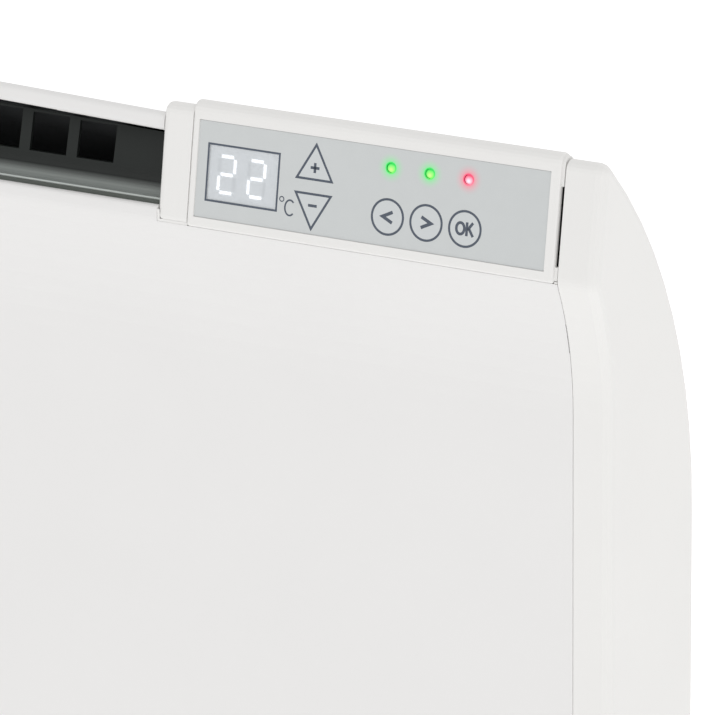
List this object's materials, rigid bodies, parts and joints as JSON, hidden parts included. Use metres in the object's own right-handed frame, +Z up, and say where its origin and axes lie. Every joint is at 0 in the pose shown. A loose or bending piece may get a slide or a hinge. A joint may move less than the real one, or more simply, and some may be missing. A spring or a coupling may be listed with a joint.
{
  "type": "wall panel convector heater",
  "caption": "Slim white wall panel convector heater with a slotted warm-air outlet along the top and a plug-in digital thermostat module at its right end, on a sprung-latch wall bracket.",
  "frame": {"origin": "centre of the wall bracket's top rail, on the face that lies against the wall", "axes": "+X to the right seen from the front, along the heater's length; +Y into the wall; +Z up"},
  "size_m": [0.7282, 0.0856, 0.3491],
  "materials": {
    "white_paint": "white textured powder coat",
    "white_plastic": "fine-grained moulded plastic",
    "foil_silver": "matt silver-grey printed foil",
    "foil_key": "matt printed foil on the keys",
    "galvanised": "galvanised sheet",
    "dark_sheet": "dark galvanised sheet",
    "aluminium": "extruded aluminium",
    "zinc": "bright zinc plate",
    "spring_steel": "drawn spring wire",
    "brass": "plain brass",
    "ceramic": null,
    "black_plastic": "black moulded plastic",
    "grey_plastic": "grey moulded plastic",
    "board_green": "solder-masked circuit board",
    "lens_green": "lit green diode lens",
    "lens_red": "lit red diode lens",
    "window_tint": "pale tinted window",
    "insulation_red": "red wire insulation",
    "insulation_blue": "blue wire insulation",
    "insulation_white": "white wire insulation"
  },
  "bodies": {
    "heater": {"module_plug": "grey_plastic", "overlay_foil": "foil_silver", "display_window": "window_tint", "display_block": "window_tint", "control_board": "board_green", "led_1": "lens_green", "led_2": "lens_green", "led_3": "lens_red", "terminal_cover": "white_plastic", "power_board": "board_green", "board_carrier": "grey_plastic", "relay": "black_plastic", "transformer": "black_plastic", "terminal_block": "white_plastic", "wire_live": "insulation_red", "wire_switched": "insulation_red", "wire_neutral": "insulation_blue", "wire_element": "insulation_white", "module_cable": "insulation_white", "cable_gland": "black_plastic", "gland_nut": "black_plastic", "earth_screw": "brass", "room_sensor": "black_plastic", "front_panel": "white_paint", "rear_casing": "white_paint", "outlet_lip": "white_paint", "outlet_sill": "dark_sheet", "outlet_grille": "dark_sheet", "inlet_grille": "galvanised", "end_cap_left": "white_plastic", "side_plate_left": "galvanised", "cap_screw_left_1": "zinc", "cap_screw_left_2": "zinc", "end_cap_right": "white_plastic", "side_plate_right": "galvanised", "cap_screw_right_1": "zinc", "cap_screw_right_2": "zinc", "bulkhead": "galvanised", "control_housing": "white_plastic", "module_bezel": "white_plastic", "module_shell": "black_plastic", "heating_element": "aluminium", "element_terminal_left": "ceramic", "element_terminal_right": "ceramic", "element_bracket_left": "galvanised", "element_bracket_right": "galvanised", "heat_shield": "galvanised", "thermal_cutout": "black_plastic", "switch_frame": "black_plastic", "wall_bracket": "galvanised", "latch_spring_left": "spring_steel", "latch_spring_right": "spring_steel"},
    "key_plus": {"key_plus": "foil_key"},
    "key_minus": {"key_minus": "foil_key"},
    "key_back": {"key_back": "foil_key"},
    "key_next": {"key_next": "foil_key"},
    "key_ok": {"key_ok": "foil_key"},
    "rocker": {"switch_rocker": "black_plastic"},
    "latch_left": {"bracket_latch_left": "zinc"},
    "latch_right": {"bracket_latch_right": "zinc"}
  },
  "joints": [
    {"name": "key_plus_press", "type": "slide", "parent": "heater", "child": "key_plus", "axis": [0, 0.986, -0.1668], "range_m": [0, 0.0004], "stiffness_N_per_m": 2500, "springref_m": -0.0002},
    {"name": "key_minus_press", "type": "slide", "parent": "heater", "child": "key_minus", "axis": [0, 0.986, -0.1668], "range_m": [0, 0.0004], "stiffness_N_per_m": 2500, "springref_m": -0.0002},
    {"name": "key_back_press", "type": "slide", "parent": "heater", "child": "key_back", "axis": [0, 0.986, -0.1668], "range_m": [0, 0.0004], "stiffness_N_per_m": 2500, "springref_m": -0.0002},
    {"name": "key_next_press", "type": "slide", "parent": "heater", "child": "key_next", "axis": [0, 0.986, -0.1668], "range_m": [0, 0.0004], "stiffness_N_per_m": 2500, "springref_m": -0.0002},
    {"name": "key_ok_press", "type": "slide", "parent": "heater", "child": "key_ok", "axis": [0, 0.986, -0.1668], "range_m": [0, 0.0004], "stiffness_N_per_m": 2500, "springref_m": -0.0002},
    {"name": "rocker_tilt", "type": "hinge", "parent": "heater", "child": "rocker", "pos_m": [0.3613, -0.049, -0.183], "axis": [0, 1, 0], "range_deg": [0, 18]},
    {"name": "latch_left_slide", "type": "slide", "parent": "heater", "child": "latch_left", "axis": [0, 0, -1], "range_m": [0, 0.007], "stiffness_N_per_m": 1500, "springref_m": -0.004, "deforming": ["latch_spring_left"]},
    {"name": "latch_right_slide", "type": "slide", "parent": "heater", "child": "latch_right", "axis": [0, 0, -1], "range_m": [0, 0.007], "stiffness_N_per_m": 1500, "springref_m": -0.004, "deforming": ["latch_spring_right"]}
  ]
}
